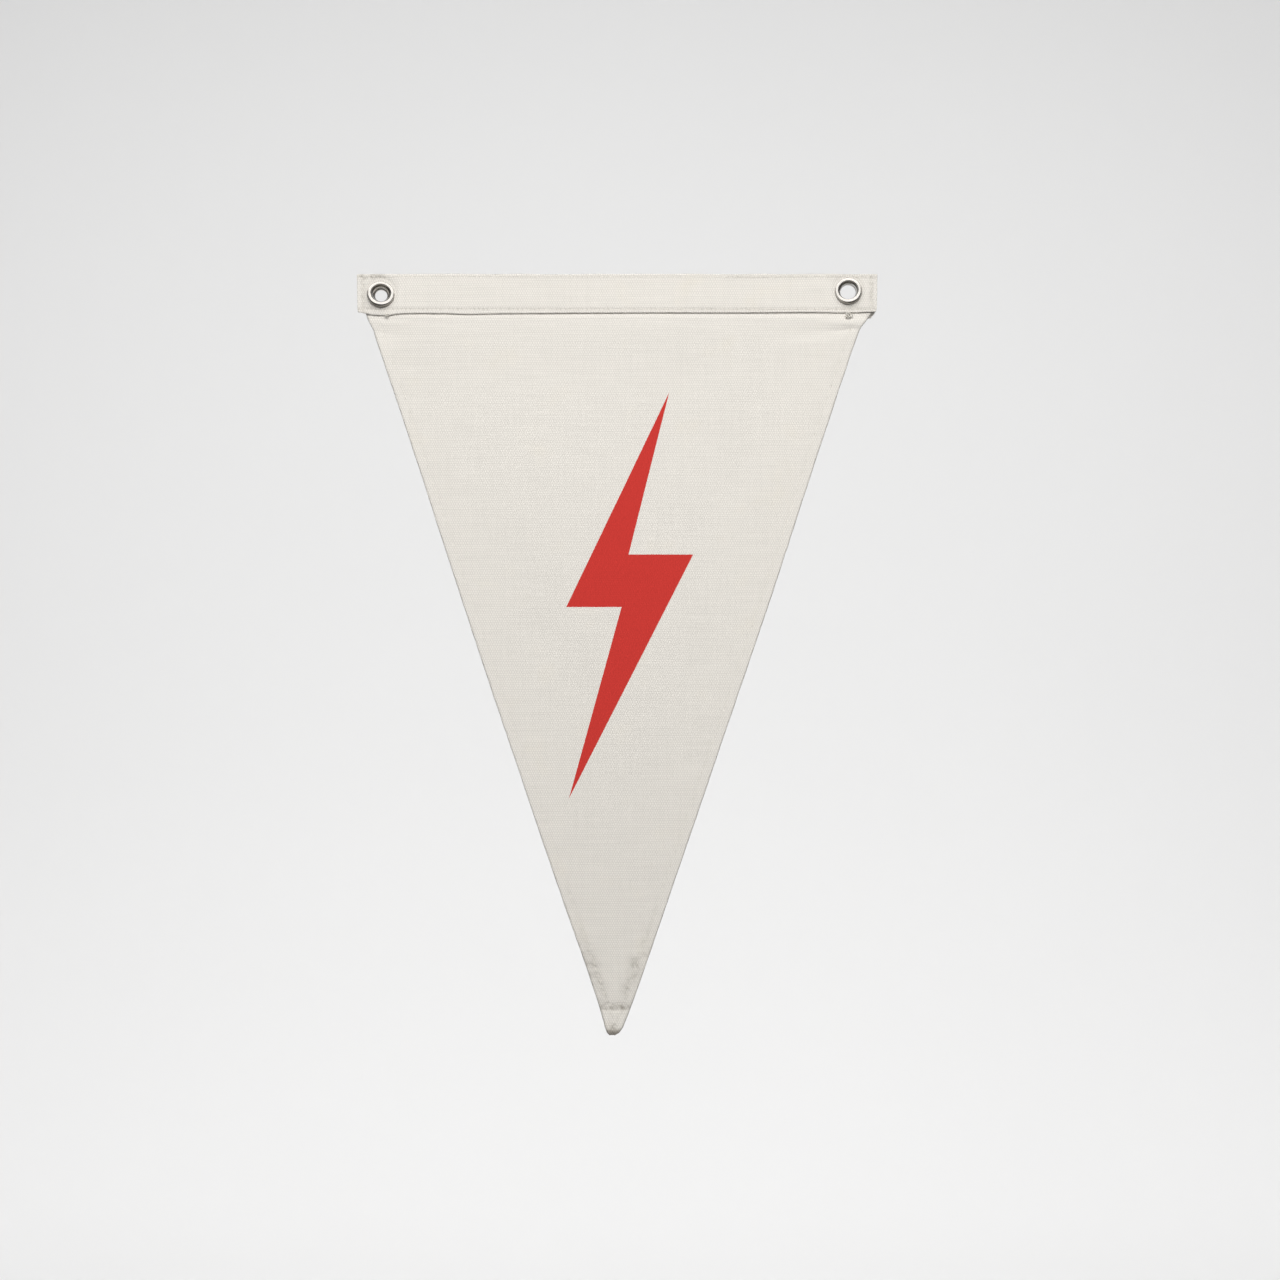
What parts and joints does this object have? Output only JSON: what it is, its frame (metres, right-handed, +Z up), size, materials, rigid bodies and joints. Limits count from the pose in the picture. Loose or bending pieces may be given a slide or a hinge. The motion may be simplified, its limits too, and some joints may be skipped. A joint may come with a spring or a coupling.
{
  "type": "pennant flag",
  "caption": "Triangular canvas pennant hung point down from a folded header with a metal eyelet at each end and a printed bolt.",
  "frame": {"origin": "middle of the header's top edge, where the flag hangs from", "axes": "+Z up, with the point hanging down along -Z; +X to the right as seen from the printed front, which faces -Y"},
  "size_m": [0.3048, 0.007, 0.4467],
  "materials": {
    "canvas": "undyed cotton canvas, plain weave, matt, with a flat red print on the front",
    "nickel": "bright nickel plate, slightly worn"
  },
  "bodies": {
    "root": {"pennant_cloth": "canvas", "header_strip": "canvas", "eyelet_left": "nickel", "eyelet_right": "nickel", "washer_left": "nickel", "washer_right": "nickel"}
  },
  "joints": []
}
